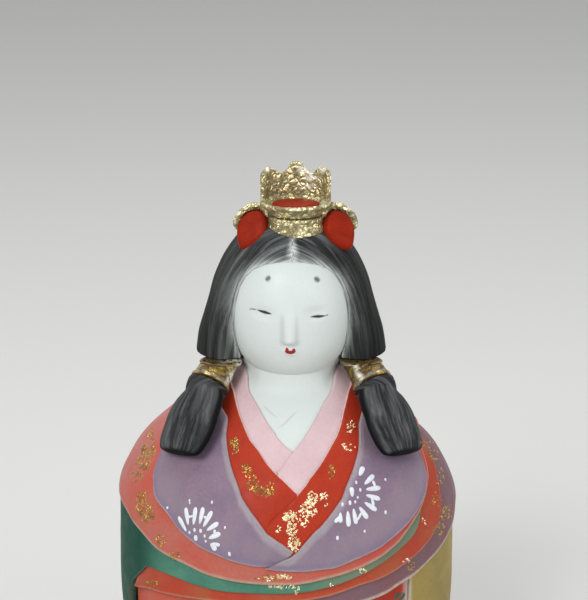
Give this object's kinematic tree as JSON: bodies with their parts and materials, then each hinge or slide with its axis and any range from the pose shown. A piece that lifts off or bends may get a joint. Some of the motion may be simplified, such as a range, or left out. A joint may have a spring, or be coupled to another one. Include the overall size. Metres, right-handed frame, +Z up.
{
  "type": "hina doll",
  "caption": "Small painted clay doll of a seated court lady in many-layered robes, with long hair, side locks and a gold crown, hollow with a closed flat base.",
  "frame": {"origin": "centre of the bounding box's underside, on the surface that the doll stands on", "axes": "+Z up, -Y the way the doll faces, +X to the doll's left hand"},
  "size_m": [0.084, 0.0796, 0.1455],
  "materials": {
    "clay": "matte bare clay",
    "skin_white": "matte white shell paint",
    "hair_grey": "brushed dark grey paint",
    "gold": "crinkled gold leaf",
    "scarlet": "satin paint",
    "pink": "matte paint",
    "lavender": "matte paint",
    "salmon": "matte paint",
    "green": "matte paint",
    "mauve": "matte paint",
    "ochre": "matte paint",
    "cream": "matte paint"
  },
  "bodies": {
    "root": {"body_core": "clay", "base_disc": "cream", "salmon_robe": "salmon", "green_robe": "green", "red_robe": "salmon", "mauve_robe": "mauve", "coral_robe": "salmon", "ochre_robe": "ochre", "front_skirt": "scarlet", "pink_collar": "pink", "red_collar": "scarlet", "lavender_jacket": "lavender", "neck_and_chest": "skin_white", "head": "skin_white", "hair_cap": "hair_grey", "back_tress": "hair_grey", "hair_lock_left": "hair_grey", "hair_lock_right": "hair_grey", "hair_band_left": "gold", "hair_band_right": "gold", "crown_base": "gold", "crown_dish": "gold", "crown_floor": "scarlet", "crown_wall": "gold", "ribbon_lobe_left": "scarlet", "ribbon_lobe_right": "scarlet", "ribbon_rim_left": "gold", "ribbon_rim_right": "gold"}
  },
  "joints": []
}
